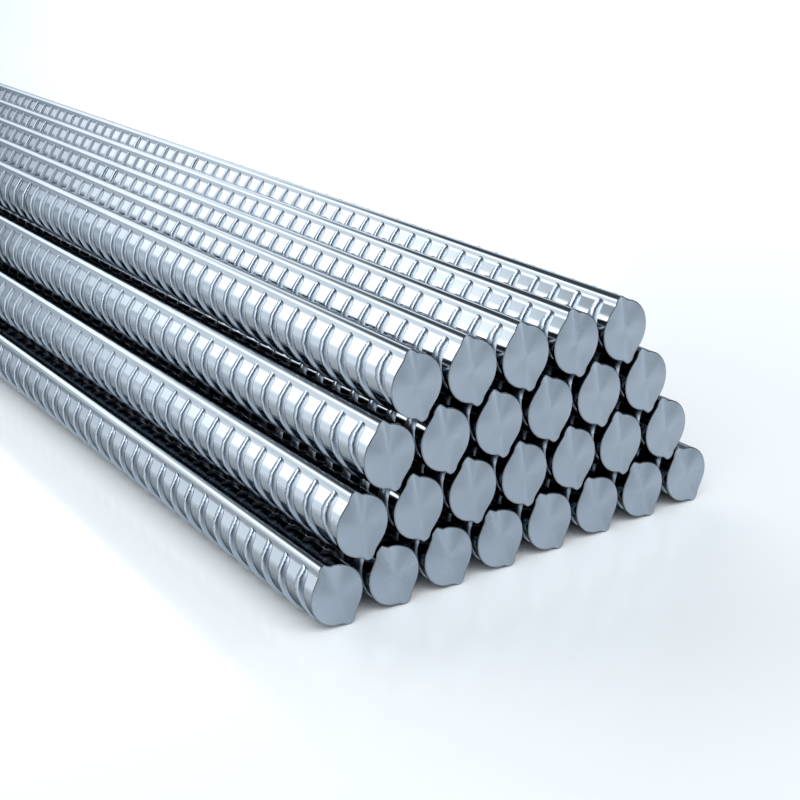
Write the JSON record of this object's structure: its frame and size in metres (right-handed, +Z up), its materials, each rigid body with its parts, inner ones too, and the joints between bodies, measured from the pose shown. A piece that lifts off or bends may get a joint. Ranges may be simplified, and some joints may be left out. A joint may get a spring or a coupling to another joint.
{
  "type": "rebar bundle",
  "caption": "Stack of ribbed reinforcing steel bars lying in staggered rows, with their sawn ends flush, as raw stock for concrete work.",
  "frame": {"origin": "on the floor, under the middle of the stack", "axes": "+Y along the bars, away from the ends that the picture shows, +X across the rows, to the right as those ends are looked at, +Z up"},
  "size_m": [0.2672, 6, 0.1346],
  "materials": {
    "bar_steel": "bright blue-grey hot-rolled and cleaned steel, smooth and glossy along the bars, satin on the sawn ends"
  },
  "bodies": {
    "root": {"bottom_row_bars": "bar_steel", "second_row_bars": "bar_steel", "third_row_bars": "bar_steel", "top_row_bars": "bar_steel"}
  },
  "joints": []
}
